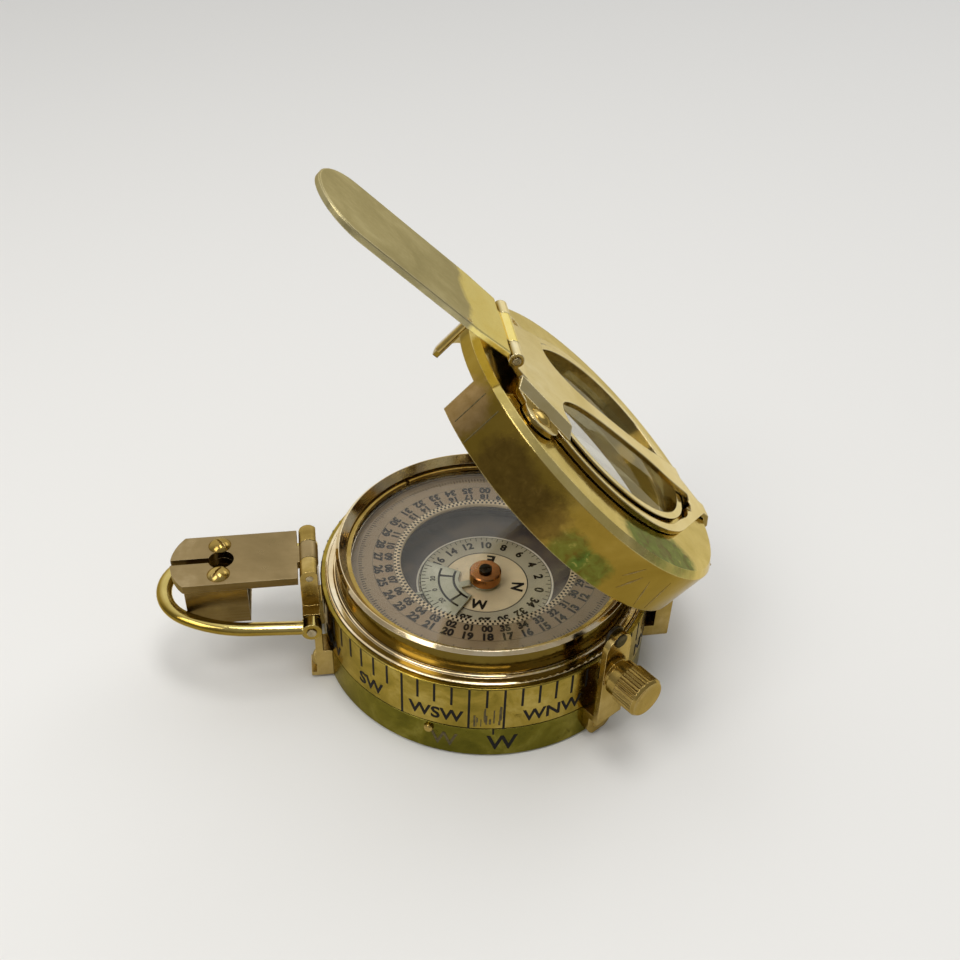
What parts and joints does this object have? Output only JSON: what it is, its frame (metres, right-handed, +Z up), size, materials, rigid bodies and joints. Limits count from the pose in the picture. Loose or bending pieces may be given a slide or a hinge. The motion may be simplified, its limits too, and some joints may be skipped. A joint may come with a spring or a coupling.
{
  "type": "folding sighting compass with clinometer",
  "caption": "Pocket surveying instrument: round case with turning bearing ring, compass card and clinometer pendulum, prism eyepiece leaf, thumb loop and hinged lid with lens and folding sight vane.",
  "frame": {"origin": "centre of the flat underside of the case", "axes": "+Z up out of the case along the card's axis, +X from the case's centre to the lid hinge, -X to the eyepiece leaf"},
  "size_m": [0.1254, 0.084, 0.1169],
  "materials": {
    "brass": "polished, a little tarnished",
    "polished_brass": "mirror polished",
    "band_brass": "polished, engraved and filled black",
    "satin_brass": "brushed",
    "copper": "polished copper-coloured brass",
    "pendulum_metal": "pale satin with printed marks",
    "pin_steel": "plain",
    "dark_stud": "blackened",
    "magnet": "plain steel",
    "card": "silvered with printed scales",
    "glass": "clear"
  },
  "bodies": {
    "case": {"base_case": "band_brass", "bottom_cover": "satin_brass", "cover_screws": "brass", "bezel_ring": "polished_brass", "dial_glass": "glass", "glass_retainer": "brass", "dial_ring": "card", "scale_ring": "card", "pivot_post": "pin_steel", "brake_spring": "pin_steel", "spring_screw": "brass", "eyepiece_bracket": "brass", "bracket_rivets": "brass", "leaf_hinge_pin": "pin_steel", "loop_pin": "pin_steel", "catch_strap": "brass", "strap_rivet": "brass", "catch_stud": "dark_stud", "lid_hinge_bracket": "brass", "hinge_bracket_rivets": "brass", "lid_hinge_pin": "pin_steel"},
    "band": {"bearing_ring": "band_brass"},
    "card": {"compass_card": "card", "card_hub": "copper", "hub_cap": "copper", "card_magnets": "magnet"},
    "pendulum": {"clinometer_pendulum": "pendulum_metal"},
    "brake": {"brake_button": "brass"},
    "leaf": {"sight_leaf": "satin_brass", "leaf_screws": "brass", "prism_box": "satin_brass", "prism": "glass"},
    "loop": {"thumb_loop": "polished_brass"},
    "clamp": {"clamp_screw": "polished_brass"},
    "lid": {"lid_hinge_arm": "brass", "arm_rivets": "brass", "lid_shell": "polished_brass", "lens_ring": "polished_brass", "lens": "glass", "sight_frame": "brass", "frame_screws": "brass", "vane_hinge_pin": "pin_steel"},
    "vane": {"sight_vane": "satin_brass", "vane_stud": "brass"}
  },
  "joints": [
    {"name": "band_turn", "type": "hinge", "parent": "case", "child": "band", "pos_m": [0, 0, 0.015], "axis": [0, 0, 1], "continuous": true},
    {"name": "card_turn", "type": "hinge", "parent": "case", "child": "card", "pos_m": [0, 0, 0.0155], "axis": [0, 0, 1], "continuous": true},
    {"name": "pendulum_swing", "type": "hinge", "parent": "card", "child": "pendulum", "pos_m": [0, 0, 0.017], "axis": [0, 0, 1], "continuous": true},
    {"name": "brake_press", "type": "slide", "parent": "case", "child": "brake", "axis": [0.4462, 0.8949, 0], "range_m": [0, 0.0006], "stiffness_N_per_m": 400},
    {"name": "leaf_fold", "type": "hinge", "parent": "case", "child": "leaf", "pos_m": [-0.0402, 0, 0.0284], "axis": [0, 1, 0], "range_deg": [0, 92]},
    {"name": "loop_drop", "type": "hinge", "parent": "case", "child": "loop", "pos_m": [-0.0405, 0, 0.0186], "axis": [0, 1, 0], "range_deg": [-85, 0]},
    {"name": "clamp_turn", "type": "hinge", "parent": "case", "child": "clamp", "pos_m": [0.02404, -0.03922, 0.0213], "axis": [0.5225, -0.8526, 0], "range_deg": [0, 180]},
    {"name": "lid_open", "type": "hinge", "parent": "case", "child": "lid", "pos_m": [0.0402, 0, 0.0163], "axis": [0, 1, 0], "range_deg": [-43.3, 60]},
    {"name": "vane_fold", "type": "hinge", "parent": "lid", "child": "vane", "pos_m": [0.00242, 0, 0.08323], "axis": [0, 1, 0], "range_deg": [0, 172]}
  ]
}
